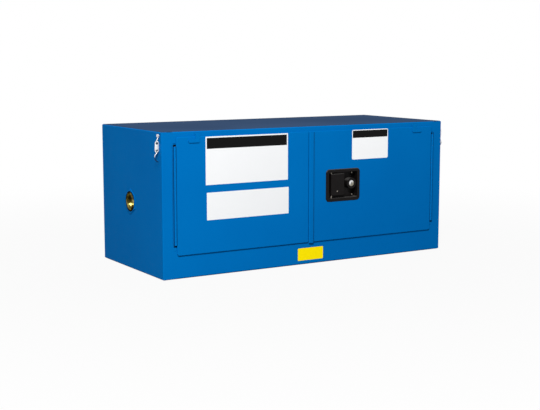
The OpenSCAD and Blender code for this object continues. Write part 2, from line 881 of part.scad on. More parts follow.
module latch_bolt() {
    nose = 5;
    swing_gap = 0.8;                            // the strike plate swings closer as the left door opens
    tip_x = -left_pan_free_x + keeper_t + throw_gap + swing_gap;
    low_y = rod_y - bolt_size.y / 2;
    color("silver") along_z(bolt_z - bolt_size.x / 2, bolt_z + bolt_size.x / 2)
        polygon([[tip_x, low_y + bolt_size.y], [tip_x, low_y + bolt_size.y / 2], [tip_x + nose, low_y],
                 [bolt_back_x, low_y], [bolt_back_x, low_y + bolt_size.y]]);
}

module upper_rod() {
    color("silver") translate([rod_x, rod_y, bolt_z + rod_start])
        cylinder(r = rod_r, h = open_top - throw_gap - bolt_z - rod_start);
}

module lower_rod() {
    color("silver") translate([rod_x, rod_y, open_bottom + throw_gap])
        cylinder(r = rod_r, h = bolt_z - rod_start - open_bottom - throw_gap);
}

module rod_guides() {
    side = rod_r + 4;
    front = rod_y - rod_r - 3;
    color("silver") for (z = guide_z) difference() {
        box([rod_x - side, front, z], [rod_x + side, pan_y - sheet_t, z + guide_t]);
        translate([rod_x, rod_y, z - cut]) cylinder(r = rod_r + run_fit, h = guide_t + 2 * cut);
    }
}

// ---------- link chains ----------

module link_screws() {
    head_r = 5;
    head_t = 3;
    nut_t = 2;
    tail = 4;
    color("silver") both_sides() translate([-half_w, chain_y, link_screw_z]) rotate([0, -90, 0]) {
        translate([0, 0, -tail]) cylinder(r = link_shank_r, h = screw_head_x - half_w + tail);
        translate([0, 0, -sheet_t - nut_t]) cylinder(r = head_r - 0.5, h = nut_t);
        intersection() {
            translate([0, 0, screw_head_x - half_w]) cylinder(r = head_r, h = head_t);
            translate([0, 0, screw_head_x - half_w + head_t - 2 * head_r]) sphere(2 * head_r);
        }
    }
}

// Wire ring about an axis along X
module ring(r) {
    rotate([0, 90, 0]) rotate_extrude() translate([r, 0]) circle(wire_r);
}

// Straight rod between two points in a plane of constant Y
module rod_between(from, to, r) {
    step = to - from;
    translate(from) rotate([0, atan2(step.x, step.z), 0]) cylinder(r = r, h = norm(step));
}

// Two eyes joined by a neck where the wire is twisted round itself
module upper_hook() {
    eye = eye_r + wire_r;
    neck_r = wire_r * 1.3;
    color("silver") {
        translate([-eye_x, chain_y, link_screw_z]) ring(eye);
        rod_between([-eye_x, chain_y, link_screw_z - eye], [-chain_x, chain_y, link_ring_z + ring_r], neck_r);
        translate([-chain_x, chain_y, link_ring_z]) ring(ring_r);
    }
}

module link_half(low, high, hole_z, y) {
    along_y(y, y + plate_t) translate([-chain_x, 0]) difference() {
        rounded([-link_w / 2, low], [link_w / 2, high], link_w / 2 - 0.01);
        translate([0, hole_z]) circle(link_hole_r);
    }
}

// Two plates soldered together over their middle third
module fusible_link() {
    lap = link_l * 0.25;
    middle = link_top_z - link_l / 2;
    color("lightgray") {
        link_half(middle - lap, link_top_z, link_hole_z, chain_y - plate_t);
        link_half(link_top_z - link_l, middle + lap * 0.5, link_low_hole_z, chain_y);
    }
}

// Eye with a wide open bend that bulges away from the body and ends close to it
module lower_hook() {
    start = 180 - hook_turn / 2 + hook_lean;
    eye_bottom = [-chain_x, hook_ring_z - ring_r];
    middle = eye_bottom - hook_r * [cos(start), sin(start)];
    color("silver") {
        translate([-chain_x, chain_y, hook_ring_z]) ring(ring_r);
        translate([middle.x, chain_y, middle.y]) rotate([90, 0, 0]) rotate(start)
            rotate_extrude(angle = hook_turn) translate([hook_r, 0]) circle(wire_r);
    }
}

module left_upper_hook() upper_hook();

module left_fusible_link() fusible_link();

module left_lower_hook() lower_hook();

module right_upper_hook() mirror([1, 0, 0]) upper_hook();

module right_fusible_link() mirror([1, 0, 0]) fusible_link();

module right_lower_hook() mirror([1, 0, 0]) lower_hook();

// ---------- earthing point ----------

module ground_screw() {
    head_r = 5.5;
    head_t = 3.5;
    washer_r = 7;
    washer_t = 1;
    shank = 10;
    color("goldenrod") translate([ground_place.x, back_y - sheet_t, ground_place.y]) rotate([-90, 0, 0]) {
        cylinder(r = washer_r, h = washer_t);
        translate([0, 0, washer_t]) cylinder(r = head_r, h = head_t, $fn = 6);
        translate([0, 0, -shank]) cylinder(r = ground_r, h = shank + washer_t);
    }
}

module ground_nut() {
    nut_r = 5.5;
    nut_t = 5;
    color("silver") translate([ground_place.x, back_y - 2 * sheet_t, ground_place.y]) rotate([90, 0, 0])
        difference() {
            cylinder(r = nut_r, h = nut_t, $fn = 6);
            translate([0, 0, -cut]) cylinder(r = ground_r + run_fit, h = nut_t + 2 * cut);
        }
}

top_panel();
base_panel();
back_panel();
left_side_panel();
right_side_panel();
top_rail();
front_sill();
left_stile();
right_stile();
liner_top();
liner_left();
liner_right();
liner_back();
liner_tray();
wall_spacers();
shelf_standards();
shelf_clips();
rod_keepers();
vent_flanges();
flame_arresters();
left_frame_leaf();
right_frame_leaf();
hinge_pins();
link_screws();
ground_screw();
ground_nut();
left_door_skin();
left_door_pan();
left_door_leaf();
left_catch();
strike_plate();
right_door_skin();
right_door_pan();
right_door_leaf();
right_catch();
centre_strip();
latch_housing();
latch_screws();
latch_bracket();
rod_guides();
paddle_pin();
lock_body();
paddle();
latch_bolt();
upper_rod();
lower_rod();
lock_plug();
lock_cam();
shelf();
left_vent_plug();
right_vent_plug();
left_upper_hook();
left_fusible_link();
left_lower_hook();
right_upper_hook();
right_fusible_link();
right_lower_hook();
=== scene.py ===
# A low blue safety cabinet: steel body, two sprung doors, recessed latch, side vents, link chains.
import json
import math

import bmesh
import bpy
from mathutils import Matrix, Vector


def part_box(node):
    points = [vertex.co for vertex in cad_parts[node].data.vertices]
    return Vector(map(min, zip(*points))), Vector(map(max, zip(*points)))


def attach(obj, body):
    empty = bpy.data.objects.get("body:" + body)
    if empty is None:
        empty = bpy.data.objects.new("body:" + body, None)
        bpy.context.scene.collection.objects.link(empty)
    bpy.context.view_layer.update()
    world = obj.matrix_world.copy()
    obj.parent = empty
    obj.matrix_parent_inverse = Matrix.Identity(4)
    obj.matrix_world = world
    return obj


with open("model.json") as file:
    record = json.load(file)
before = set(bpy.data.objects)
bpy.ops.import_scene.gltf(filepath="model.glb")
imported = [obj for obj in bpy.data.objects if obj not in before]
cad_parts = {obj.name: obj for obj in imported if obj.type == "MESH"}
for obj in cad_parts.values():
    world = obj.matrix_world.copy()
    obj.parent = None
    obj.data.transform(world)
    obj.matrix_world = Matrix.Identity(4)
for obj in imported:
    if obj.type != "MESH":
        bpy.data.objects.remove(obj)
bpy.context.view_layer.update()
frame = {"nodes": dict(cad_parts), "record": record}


# ---- Studio --------------------------------------------------------------------------------------
# A long lens looks down a little on the cabinet's front and left side, as in the photograph. The
# cabinet stands on a white sheet, under a large soft lamp at the front left and two weaker ones.

lens_data = bpy.data.cameras.new("photo_lens")
lens_data.sensor_width = 36
lens_data.lens = 73.1
photo_camera = bpy.data.objects.new("photo_camera", lens_data)
photo_camera.location = (-1.9905, -3.2172, 0.6896)
photo_camera.rotation_euler = (math.radians(82.168), 0, math.radians(-31.455))
bpy.context.scene.collection.objects.link(photo_camera)
bpy.context.scene.camera = photo_camera
bpy.context.scene.view_settings.view_transform = "Standard"


class Wire:
    """A shader output that takes part in plain arithmetic."""

    def __init__(self, recipe, socket):
        self.recipe = recipe
        self.socket = socket

    def maths(self, operation, first, second=0.0):
        return self.recipe.add("Math", {"operation": operation}, {0: first, 1: second})

    def __add__(self, other):
        return self.maths("ADD", self, other)

    def __sub__(self, other):
        return self.maths("SUBTRACT", self, other)

    def __rsub__(self, other):
        return self.maths("SUBTRACT", other, self)

    def __mul__(self, other):
        return self.maths("MULTIPLY", self, other)

    __radd__ = __add__
    __rmul__ = __mul__

    def greater(self, other):
        """The greater of the two."""
        return self.maths("MAXIMUM", self, other)

    def unsigned(self):
        """Without its sign."""
        return self.maths("ABSOLUTE", self)

    def rise(self, start, end):
        """0 up to start, 1 from end on, and smooth between them."""
        sockets = {"Value": self, 1: start, 2: end, 3: 0.0, 4: 1.0}
        return self.recipe.add("MapRange", {"interpolation_type": "SMOOTHSTEP"}, sockets)


class Recipe:
    """A node tree that is written down as one expression after another."""

    def __init__(self, owner):
        owner.use_nodes = True
        self.owner = owner
        self.tree = owner.node_tree
        self.tree.nodes.clear()

    def add(self, kind, settings=None, inputs=None, output=0):
        """A node of this kind: its settings come first, then the values or wires of its sockets."""
        node = self.tree.nodes.new("ShaderNode" + kind)
        for name, value in (settings or {}).items():
            if name == "stops":
                self.set_stops(node.color_ramp.elements, value)
            else:
                setattr(node, name, value)
        for name, value in (inputs or {}).items():
            if isinstance(value, Wire):
                self.tree.links.new(value.socket, node.inputs[name])
            elif node.inputs[name].type == "RGBA":
                node.inputs[name].default_value = (*value, 1)
            else:
                node.inputs[name].default_value = value
        return Wire(self, node.outputs[output]) if node.outputs else None

    def set_stops(self, elements, stops):
        """The places and colours of a colour ramp, which starts with two stops of its own."""
        for _ in stops[2:]:
            elements.new(1)
        for element, (place, colour) in zip(elements, stops):
            element.position = place
            element.color = (*colour, 1)

    def other(self, wire, output):
        """Another output of the node that a wire comes from."""
        return Wire(self, wire.socket.node.outputs[output])

    def place(self, scale=None):
        """Where a point lies on the object, in metres, or in metres times a scale on each axis."""
        here = self.add("TexCoord", output="Object")
        return self.add("Mapping", {}, {"Vector": here, "Scale": scale}) if scale else here

    def along(self, axis):
        """One coordinate of that place."""
        return self.add("SeparateXYZ", {}, {"Vector": self.place()}, axis)

    def noise(self, scale, detail, where=None):
        inputs = {"Vector": where or self.place(), "Scale": scale, "Detail": detail}
        return self.add("TexNoise", {}, inputs)

    def mix(self, mask, low, high):
        """The low colour where the mask is 0, the high one where it is 1."""
        return self.add("Mix", {"data_type": "RGBA"}, {0: mask, 6: low, 7: high}, 2)

    def relief(self, height, depth):
        """Bumps of this depth in metres."""
        return self.add("Bump", {}, {"Height": height, "Distance": depth})

    def surface(self, **sockets):
        """The finished material. An underscore stands for a space in a socket's name."""
        named = {name.replace("_", " "): value for name, value in sockets.items()}
        self.add("OutputMaterial", {}, {"Surface": self.add("BsdfPrincipled", {}, named)})
        return self.owner


def seen_or_mirrored(recipe):
    """1 for what the lens sees, straight on or in metal, and 0 for light that falls on things."""
    rays = recipe.add("LightPath", output="Is Camera Ray")
    mirrored = recipe.other(rays, "Is Glossy Ray").greater(recipe.other(rays, "Is Transmission Ray"))
    return rays.greater(mirrored)


white = (1.0, 1.0, 1.0)
world = bpy.data.worlds.new("studio")
bpy.context.scene.world = world
air = Recipe(world)
room_light = air.add("Background", {}, {"Color": white, "Strength": 0.29})
white_room = air.add("Background", {}, {"Color": white, "Strength": 1.0})
room = air.add("MixShader", {}, {0: seen_or_mirrored(air), 1: room_light, 2: white_room})
air.add("OutputWorld", {}, {0: room})

floor_radius = 30
floor_gap = 0.0005
floor_disc = bmesh.new()
bmesh.ops.create_circle(floor_disc, cap_ends=True, radius=floor_radius, segments=96)
floor_data = bpy.data.meshes.new("floor")
floor_disc.to_mesh(floor_data)
floor_disc.free()
floor = bpy.data.objects.new("floor", floor_data)
floor.location.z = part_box("base_panel")[0].z - floor_gap
bpy.context.scene.collection.objects.link(floor)

paper = Recipe(bpy.data.materials.new("white_sheet"))
matt = paper.add("BsdfDiffuse", {}, {"Color": (0.28, 0.28, 0.28)})
glow = paper.add("Emission", {}, {"Color": white, "Strength": 1.0})
distance = paper.add("VectorMath", {"operation": "LENGTH"}, {0: paper.place()}, "Value")
whiteness = distance.rise(0.6, 2.5) * 0.06 + 0.94
white_part = seen_or_mirrored(paper) * whiteness
paper.add("OutputMaterial", {}, {0: paper.add("MixShader", {}, {0: white_part, 1: matt, 2: glow})})
floor_data.materials.append(paper.owner)

cabinet_middle = Vector((0, 0, 0.25))


def soft_lamp(name, place, width, power):
    """A square lamp that faces the middle of the cabinet."""
    data = bpy.data.lights.new(name, "AREA")
    data.size = width
    data.energy = power
    lamp = bpy.data.objects.new(name, data)
    lamp.location = place
    lamp.rotation_euler = (cabinet_middle - Vector(place)).to_track_quat("-Z", "Y").to_euler()
    bpy.context.scene.collection.objects.link(lamp)


soft_lamp("front_left_lamp", (-2.0, -2.95, 3.0), 0.8, 210)
soft_lamp("back_lamp", (2.4, 2.9, 2.6), 1.6, 60)
soft_lamp("left_lamp", (-1.75, -0.95, 1.5), 0.5, 2.0)


# ---- Powder-coated sheet steel -------------------------------------------------------------------
# Body, doors and frame are folded from 1.2 mm sheet and powder coated after welding.
# The coat is satin, with a fine orange peel, and a little uneven in tone over a whole sheet.

def paint_node(node_name, material):
    """Puts a material on one CAD piece."""
    mesh = frame["nodes"][node_name].data
    mesh.materials.clear()
    mesh.materials.append(material)


def paint_slot(slot_name, material):
    """Puts a material on every CAD piece whose record names this slot."""
    for entry in frame["record"]["subparts"]:
        if entry["material_slot"] == slot_name:
            paint_node(entry["node"], material)


def powder_coat(name, colour, deep, shine):
    """A sprayed and baked paint, deeper in tone where it lies a little thicker."""
    coat = Recipe(bpy.data.materials.new(name))
    thick = coat.noise(2.6, 3).rise(0.3, 0.7)
    peel = coat.noise(620, 1) + coat.noise(150, 1) * 0.6
    return coat.surface(
        Base_Color=coat.mix(thick, colour, deep),
        Roughness=0.5 + coat.noise(35, 2) * 0.12,
        Specular_IOR_Level=shine,
        Specular_Tint=(0.25, 0.6, 1.0),
        Normal=coat.relief(peel, 0.00004),
    )


blue_coat = powder_coat("blue_powder_coat", (0.0, 0.145, 0.452), (0.0, 0.132, 0.424), 0.012)
# Painted shade and painted dark reflection: the top panel gets a dark slate copy of the blue coat.
painted_shade_top_coat = powder_coat("painted_shade_top_powder_coat", (0.041, 0.075, 0.148), (0.034, 0.064, 0.129), 0.0)
paint_slot("blue_paint", blue_coat)
paint_slot("slate_paint", painted_shade_top_coat)


# ---- Filled seams, and painted shade by the hinges and the centre strip --------------------------
# The seams between the side sheets and the frame are filled and painted over. Black pieces behind
# each hinge slot, beside each hinge and along the centre strip are painted shade: they darken the
# slots and lay dark lines where the gaps and edges throw shadow.

def mount(name, mesh, material, body):
    """Turns a finished mesh into a piece of one material on one body."""
    data = bpy.data.meshes.new(name)
    mesh.to_mesh(data)
    mesh.free()
    data.materials.append(material)
    piece = bpy.data.objects.new(name, data)
    bpy.context.scene.collection.objects.link(piece)
    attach(piece, body)


def bead(name, across, deep, up, material, body, hand=1):
    """A straight run with softened edges, between limits on x, y and z. Hand -1 mirrors its x."""
    limits = (sorted(hand * x for x in across), deep, up)
    low, high = (Vector(corner) for corner in zip(*limits))
    softening = min(high - low) * 0.2
    mesh = bmesh.new()
    bmesh.ops.create_cube(mesh, size=1)
    bmesh.ops.scale(mesh, verts=mesh.verts, vec=high - low)
    bmesh.ops.translate(mesh, verts=mesh.verts, vec=(low + high) / 2)
    bmesh.ops.bevel(mesh, geom=mesh.edges[:], offset=softening, segments=2, profile=0.5, affect="EDGES")
    mount(name, mesh, material, body)


def painted_shade_black():
    """A dull near-black, for dark pieces that are painted shade."""
    foam = Recipe(bpy.data.materials.new("painted_shade_black"))
    speckle = foam.noise(900, 1)
    return foam.surface(
        Base_Color=foam.mix(speckle, (0.004, 0.004, 0.005), (0.009, 0.009, 0.01)),
        Roughness=0.85 + speckle * 0.1,
        Specular_IOR_Level=0.0,
        Normal=foam.relief(speckle, 0.0001),
    )


# Painted shade: this black goes on pieces set where the cabinet shows only shade and shadow.
painted_shade_finish = painted_shade_black()
flush_gap = 0.0001
sheet_thickness = 0.0012
stile_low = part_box("left_stile")[0]
skin_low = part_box("left_door_skin")[0]
leaf_low, leaf_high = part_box("left_frame_leaf")

slot_end_gap = 0.0065
slot_bottom = leaf_low.z - slot_end_gap
slot_top = leaf_high.z + slot_end_gap

seam_end_gap = 0.001
seam_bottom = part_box("front_sill")[0].z + seam_end_gap
seam_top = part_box("top_rail")[1].z - seam_end_gap
seam_front = stile_low.y + flush_gap
seam_outer = stile_low.x - 0.0028
seam_inner = stile_low.x + 0.0022
seam_inner_at_slot = stile_low.x + 0.0019
seam_runs = {
    "upper": (seam_inner, slot_top, seam_top),
    "middle": (seam_inner_at_slot, slot_bottom, slot_top),
    "lower": (seam_inner, seam_bottom, slot_bottom),
}

slot_shade_thickness = 0.002
slot_shade_overlap = 0.002
slot_shade_front = leaf_high.y + flush_gap
slot_shade_across = (stile_low.x + 0.0014, leaf_high.x - 0.001)
slot_shade_deep = (slot_shade_front, slot_shade_front + slot_shade_thickness)
slot_shade_up = (slot_bottom - slot_shade_overlap, slot_top + slot_shade_overlap)

leaf_shadow_across = (skin_low.x - 0.0006, skin_low.x - flush_gap)
leaf_shadow_deep = (skin_low.y + 0.0006, skin_low.y + 0.003)
frame_shadow_inner = stile_low.x - 0.0007
frame_shadow_half_depth = 0.0002
frame_shadow_deep = (stile_low.y - frame_shadow_half_depth, stile_low.y + frame_shadow_half_depth)
frame_shadow_widths = {"left": 0.0006, "right": 0.002}

for side, hand in (("left", 1), ("right", -1)):
    for run, (inner, bottom, top) in seam_runs.items():
        bead(f"{side}_{run}_seam", (seam_outer, inner), (seam_front, seam_front + sheet_thickness),
             (bottom, top), blue_coat, "cabinet", hand)
    # Painted shade: a black block behind the hinge slot makes the slot read dark.
    bead(f"{side}_slot_shade", slot_shade_across, slot_shade_deep, slot_shade_up, painted_shade_finish, "cabinet", hand)
    # Painted shadow: a black line on the door beside the hinge barrel.
    bead(f"{side}_leaf_shadow", leaf_shadow_across, leaf_shadow_deep, (leaf_low.z, leaf_high.z),
         painted_shade_finish, f"{side}_door", hand)
    # Painted shadow: a black line on the frame beside the hinge slot, wider on the right.
    frame_shadow_outer = frame_shadow_inner - frame_shadow_widths[side]
    bead(f"{side}_frame_shadow", (frame_shadow_outer, frame_shadow_inner), frame_shadow_deep,
         (slot_bottom, slot_top), painted_shade_finish, "cabinet", hand)

# Painted shadow: a black line beside the right edge of the centre strip.
strip_shadow_width = 0.002
strip_shadow_lift = 0.0003
strip_shadow_start = 0.002
strip_low, strip_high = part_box("centre_strip")
bead("strip_shadow", (strip_high.x, strip_high.x + strip_shadow_width),
     (skin_low.y - strip_shadow_lift, skin_low.y), (strip_low.z + strip_shadow_start, strip_high.z),
     painted_shade_finish, "right_door")


# ---- Plated steel --------------------------------------------------------------------------------
# Screws, rods and hooks are zinc plated. Shelf, clips and standards are galvanised sheet, whose
# crystals show. Earthing screw and vent closures are passivated to a mottled gold, links tinned.

def zinc_plate():
    """A bright plate with fine drawing lines."""
    plate = Recipe(bpy.data.materials.new("zinc_plate"))
    lines = plate.noise(60, 2, plate.place(scale=(20, 20, 1)))
    return plate.surface(
        Base_Color=plate.mix(lines, (0.62, 0.63, 0.65), (0.76, 0.76, 0.77)),
        Metallic=1.0,
        Roughness=0.26 + lines * 0.14,
        Normal=plate.relief(lines, 0.00002),
    )


def galvanised_sheet():
    """A dull plate with flat crystals a few millimetres wide, each a little lighter or darker."""
    plate = Recipe(bpy.data.materials.new("galvanised_sheet"))
    crystals = plate.add("TexVoronoi", {}, {"Vector": plate.place(), "Scale": 170.0}, "Color")
    tone = plate.add("RGBToBW", {}, {"Color": crystals})
    return plate.surface(
        Base_Color=plate.mix(tone, (0.5, 0.52, 0.54), (0.66, 0.67, 0.69)),
        Metallic=1.0,
        Roughness=0.36 + tone * 0.16,
        Normal=plate.relief(plate.noise(300, 2), 0.00002),
    )


def passivated_zinc():
    """Olive, pale gold and brown patches, as the film is thinner or thicker."""
    plate = Recipe(bpy.data.materials.new("passivated_zinc"))
    film = plate.noise(55, 3)
    hues = [
        (0.3, (0.05, 0.04, 0.012)),
        (0.45, (0.2, 0.17, 0.05)),
        (0.56, (0.6, 0.56, 0.28)),
        (0.68, (0.16, 0.09, 0.02)),
    ]
    return plate.surface(
        Base_Color=plate.add("ValToRGB", {"stops": hues}, {"Fac": film}),
        Metallic=1.0,
        Roughness=0.26 + plate.noise(90, 2) * 0.2,
        Normal=plate.relief(plate.noise(140, 1), 0.00006),
    )


def tinned_link():
    """Soft tinned metal, pale and a little scratched."""
    plate = Recipe(bpy.data.materials.new("tinned_link"))
    marks = plate.noise(400, 3, plate.place(scale=(1, 1, 0.15)))
    return plate.surface(
        Base_Color=plate.mix(marks, (0.84, 0.83, 0.81), (0.93, 0.92, 0.9)),
        Metallic=0.7,
        Roughness=0.3 + marks * 0.2,
        Normal=plate.relief(marks, 0.00003),
    )


paint_slot("zinc", zinc_plate())
paint_slot("galvanised", galvanised_sheet())
paint_slot("yellow_zinc", passivated_zinc())
paint_slot("link_metal", tinned_link())


# ---- Latch and lock ------------------------------------------------------------------------------
# The recessed housing, its paddle and the lock's surround are black enamelled steel pressings, with
# a painted highlight on what faces up. The lock's plug is turned brass with a nickel plate, polished on
# its domed face, with a painted highlight at its upper left and painted shade below and to the right.
# A bezel is pressed on round it, a black block in its keyway is painted shade, and a rivet holds the
# paddle's linkage from behind.

def black_enamel():
    """Semi-gloss black with a slight peel, and a painted highlight on what faces up."""
    enamel = Recipe(bpy.data.materials.new("black_enamel"))
    facing = enamel.add("TexCoord", output="Normal")
    upward = enamel.add("SeparateXYZ", {}, {"Vector": facing}, 2).rise(0.35, 0.8)
    # Painted highlight: faces that look up are lighter.
    upward_highlight = upward * (enamel.noise(160, 2) * 0.6 + 0.6)
    base_black = enamel.mix(enamel.noise(30, 2), (0.004, 0.003, 0.003), (0.008, 0.007, 0.007))
    return enamel.surface(
        Base_Color=enamel.mix(upward_highlight, base_black, (0.06, 0.058, 0.056)),
        Roughness=0.3 + enamel.noise(60, 2) * 0.1,
        Specular_IOR_Level=0.08,
        Normal=enamel.relief(enamel.noise(420, 2), 0.00003),
    )


def nickel_plate(middle):
    """Nickel with a painted highlight at its upper left, and painted shade, duller and yellower,
    elsewhere.
    """
    plate = Recipe(bpy.data.materials.new("nickel_plate"))
    marks = plate.noise(250, 3)
    upper = plate.along(2).rise(middle.z - 0.008, middle.z + 0.009)
    left = 1 - plate.along(0).rise(middle.x - 0.008, middle.x + 0.008)
    # Painted highlight at the upper left of the plug, painted shade over the rest.
    highlight_mask = (upper * 0.6 + left * 0.4).rise(0.25, 0.8)
    shaded_nickel = plate.mix(marks, (0.2, 0.19, 0.15), (0.34, 0.32, 0.25))
    return plate.surface(
        Base_Color=plate.mix(highlight_mask, shaded_nickel, (0.72, 0.72, 0.73)),
        Metallic=1.0,
        Roughness=0.22 + marks * 0.12,
        Normal=plate.relief(marks, 0.00001),
    )


def dark_zinc():
    """Zinc turned brown by handling."""
    plate = Recipe(bpy.data.materials.new("dark_zinc"))
    tarnish = plate.noise(500, 2)
    return plate.surface(
        Base_Color=plate.mix(tarnish, (0.14, 0.12, 0.1), (0.42, 0.39, 0.34)),
        Metallic=1.0,
        Roughness=0.35 + tarnish * 0.2,
        Normal=plate.relief(tarnish, 0.00002),
    )


def flat_ring(name, centre, outward, radii, thickness, material, body):
    """A thin ring that stands on a face. Outward is that face's direction on x and y."""
    steps = 48
    inner, outer = radii
    forward = Vector((*outward, 0))
    sideways = Vector((abs(outward[1]), abs(outward[0]), 0))
    mesh = bmesh.new()
    circles = []
    for radius, depth in ((inner, 0), (outer, 0), (outer, thickness), (inner, thickness)):
        circle = []
        for step in range(steps):
            angle = 2 * math.pi * step / steps
            up = Vector((0, 0, radius * math.sin(angle)))
            point = Vector(centre) + forward * depth + sideways * (radius * math.cos(angle)) + up
            circle.append(mesh.verts.new(point))
        circles.append(circle)
    for here, there in zip(circles, circles[1:] + circles[:1]):
        for step in range(steps):
            after = (step + 1) % steps
            mesh.faces.new([here[step], here[after], there[after], there[step]])
    bmesh.ops.recalc_face_normals(mesh, faces=mesh.faces)
    mount(name, mesh, material, body)


enamel_finish = black_enamel()
screw_finish = dark_zinc()
to_front = (0, -1)
plug_low, plug_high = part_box("lock_plug")
plug_middle = (plug_low + plug_high) / 2
paint_slot("black_enamel", enamel_finish)
paint_slot("bright_chrome", nickel_plate(plug_middle))
paint_node("latch_screws", screw_finish)
paint_node("paddle_pin", screw_finish)

bezel_radii = (0.0101, 0.0135)
bezel_thickness = 0.0005
bezel_centre = (plug_middle.x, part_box("lock_body")[0].y, plug_middle.z)
flat_ring("lock_bezel", bezel_centre, to_front, bezel_radii, bezel_thickness,
          enamel_finish, "right_door")

# Painted shade: a black block set in the keyway makes it read dark.
keyway_shade_half_width = 0.00095
keyway_shade_half_height = 0.0044
keyway_shade_front = plug_low.y + 0.0006
keyway_shade_back = plug_low.y + 0.0028
bead("keyway_shade", (plug_middle.x - keyway_shade_half_width, plug_middle.x + keyway_shade_half_width),
     (keyway_shade_front, keyway_shade_back),
     (plug_middle.z - keyway_shade_half_height, plug_middle.z + keyway_shade_half_height),
     painted_shade_finish, "lock")

rivet_radii = (0.0004, 0.0024)
rivet_thickness = 0.0003
rivet_height = 0.014
rivet_share_across = 0.45
paddle_low, paddle_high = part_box("paddle")
rivet_x = paddle_low.x + (paddle_high.x - paddle_low.x) * rivet_share_across
rivet_centre = (rivet_x, paddle_low.y, paddle_low.z + rivet_height)
flat_ring("paddle_rivet", rivet_centre, to_front, rivet_radii, rivet_thickness, screw_finish, "paddle")


# ---- Painted shade at the vents, and the link chains ---------------------------------------------
# A black ring round each vent closure's rim is painted shade, in the gap there. Each fusible link
# is two plates soldered one on the other, 1 mm apart, and black rings round their holes are painted
# shade. The lower hooks are bare wire, with a painted dark reflection towards their lower ends.

def dark_reflection_wire(low, high):
    """Bare zinc-plated wire, with a painted dark reflection towards its lower end."""
    wire = Recipe(bpy.data.materials.new("dark_reflection_wire"))
    # Painted reflection: the lower end of the wire is darkened almost to black.
    dark_reflection_mask = 1 - wire.along(2).rise(low, high)
    marks = wire.noise(500, 2)
    bare = wire.mix(marks, (0.6, 0.6, 0.6), (0.74, 0.74, 0.74))
    return wire.surface(
        Base_Color=wire.mix(dark_reflection_mask, bare, (0.016, 0.012, 0.01)),
        Metallic=1.0,
        Roughness=0.3 + marks * 0.15,
        Normal=wire.relief(marks, 0.00002),
    )


rim_shade_inset = 0.0031
rim_shade_overhang = 0.0003
rim_shade_thickness = 0.0004
plate_step = 0.001
hole_shade_radii = (0.0016, 0.0040)
hole_shade_thickness = 0.0001
dark_length = 0.014
dark_length_with_fade = 0.018
hook_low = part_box("left_lower_hook")[0]
wire_finish = dark_reflection_wire(hook_low.z + dark_length, hook_low.z + dark_length_with_fade)
for side, hand in (("left", -1), ("right", 1)):
    rim_low, rim_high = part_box(f"{side}_vent_plug")
    rim_middle = (rim_low + rim_high) / 2
    rim_r = (rim_high.z - rim_low.z) / 2
    rim_x = rim_low.x if side == "left" else rim_high.x
    # Painted shade: a black ring on the vent closure's rim, for the shadow in the gap round it.
    flat_ring(f"{side}_vent_rim_shade", (rim_x, rim_middle.y, rim_middle.z), (hand, 0),
              (rim_r - rim_shade_inset, rim_r + rim_shade_overhang), rim_shade_thickness,
              painted_shade_finish, f"{side}_vent_plug")

    link_low, link_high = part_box(f"{side}_fusible_link")
    link_x = (link_low.x + link_high.x) / 2
    link_r = (link_high.x - link_low.x) / 2
    plates = {
        "upper": (link_high.z - link_r, link_low.y, link_high.y - plate_step),
        "lower": (link_low.z + link_r, link_low.y + plate_step, link_high.y),
    }
    # Painted shade: black rings round the holes of each link plate.
    for end, (hole_z, front_y, back_y) in plates.items():
        for face, face_y, facing_y in (("front", front_y, -1), ("back", back_y, 1)):
            flat_ring(f"{side}_{end}_{face}_flux", (link_x, face_y, hole_z), (0, facing_y),
                      hole_shade_radii, hole_shade_thickness, painted_shade_finish, f"{side}_fusible_link")
    paint_node(f"{side}_lower_hook", wire_finish)


# ---- Welds and bumpers ---------------------------------------------------------------------------
# The tray is welded all round to the liner. Spot welds hold the folded edges on the back and the
# door pans to their skins. Small rubber bumpers on the frame quieten the doors.

